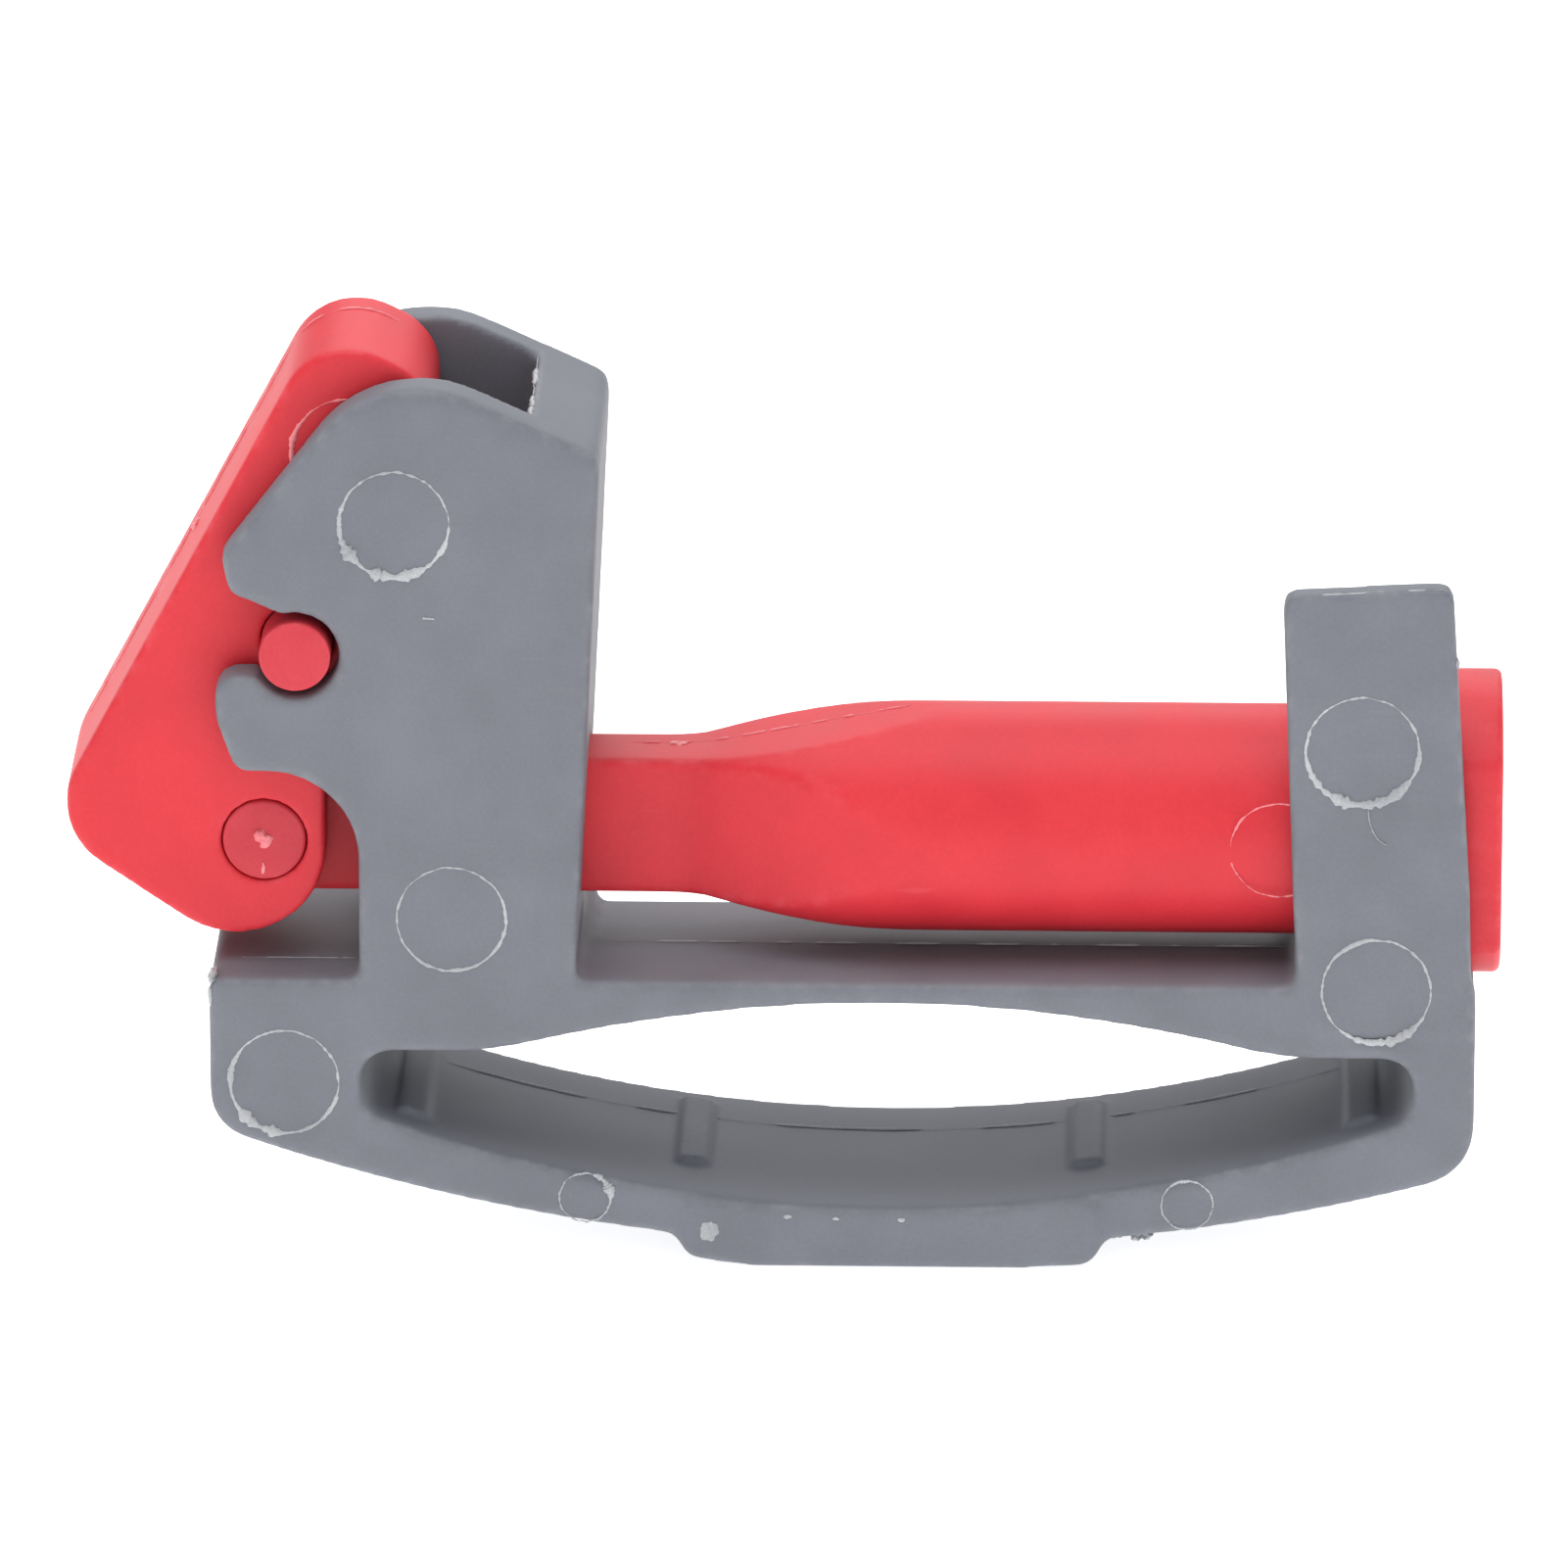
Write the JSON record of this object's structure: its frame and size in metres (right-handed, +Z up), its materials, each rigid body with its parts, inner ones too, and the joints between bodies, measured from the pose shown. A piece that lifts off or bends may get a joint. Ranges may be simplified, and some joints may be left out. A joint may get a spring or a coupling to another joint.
{
  "type": "quick-release clamp latch",
  "caption": "Moulded clamp latch: a grey loop frame with a strap slot, a red cross bolt with a disc head, and a red toggle lever that pins into a notch and draws the bolt tight.",
  "frame": {"origin": "middle of the latch, at the underside of the foot", "axes": "+X along the bolt towards its head, +Z up through the tower, -Y the front"},
  "size_m": [0.0791, 0.017, 0.052],
  "materials": {
    "grey_nylon": "as-moulded matte with pale ejector flash",
    "red_nylon": "as-moulded satin with a soft sheen",
    "pin_red_nylon": "as-moulded matte"
  },
  "bodies": {
    "frame": {"frame": "grey_nylon"},
    "bolt": {"bolt": "red_nylon"},
    "lever": {"lever": "red_nylon", "pivot_pin": "pin_red_nylon", "fulcrum_pin": "pin_red_nylon"}
  },
  "joints": [
    {"name": "bolt_slide", "type": "slide", "parent": "frame", "child": "bolt", "axis": [1, 0, 0], "range_m": [0, 0.0042]},
    {"name": "lever_swing", "type": "hinge", "parent": "bolt", "child": "lever", "pos_m": [-0.02867, 0.00016, 0.02365], "axis": [0, -1, 0], "range_deg": [0, 20]}
  ],
  "couplings": [
    {"joint": "bolt_slide", "follows": "lever_swing", "m_per_rad": 0.01168}
  ]
}
